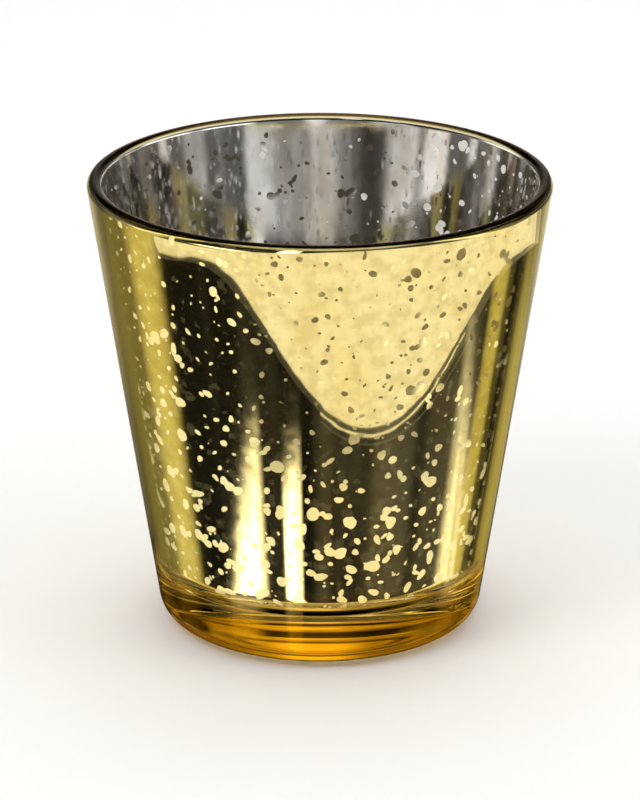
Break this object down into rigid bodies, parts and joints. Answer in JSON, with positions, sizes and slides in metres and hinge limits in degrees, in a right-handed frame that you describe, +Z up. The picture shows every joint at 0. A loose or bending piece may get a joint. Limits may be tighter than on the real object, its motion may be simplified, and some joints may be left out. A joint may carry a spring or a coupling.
{
  "type": "votive candle holder",
  "caption": "Tapered glass votive cup with a thick base, speckled silver mirror lining and translucent gold outer coat, holding a tealight that lifts out.",
  "frame": {"origin": "on the table, in the middle of the foot", "axes": "+Z up along the cup's axis; the cup is round, so +X and +Y are free"},
  "size_m": [0.0698, 0.0698, 0.0685],
  "materials": {
    "clear_glass": "clear, fire polished",
    "mirror_silver": "speckled mirror coat with clear flecks",
    "gold_lacquer": "translucent gold lacquer, glossy",
    "tealight_aluminium": "drawn foil, satin",
    "candle_wax": "poured paraffin wax, satin",
    "wick_cotton": "braided cotton, waxed",
    "sustainer_tin": "tinned, satin"
  },
  "bodies": {
    "holder": {"glass_tumbler": "clear_glass", "silver_lining": "mirror_silver", "gold_lacquer": "gold_lacquer"},
    "tealight": {"tealight_cup": "tealight_aluminium", "candle_wax": "candle_wax", "wick": "wick_cotton", "wick_sustainer": "sustainer_tin"}
  },
  "joints": [
    {"name": "tealight_lift", "type": "slide", "parent": "holder", "child": "tealight", "axis": [0, 0, 1], "range_m": [0, 0.07]}
  ]
}
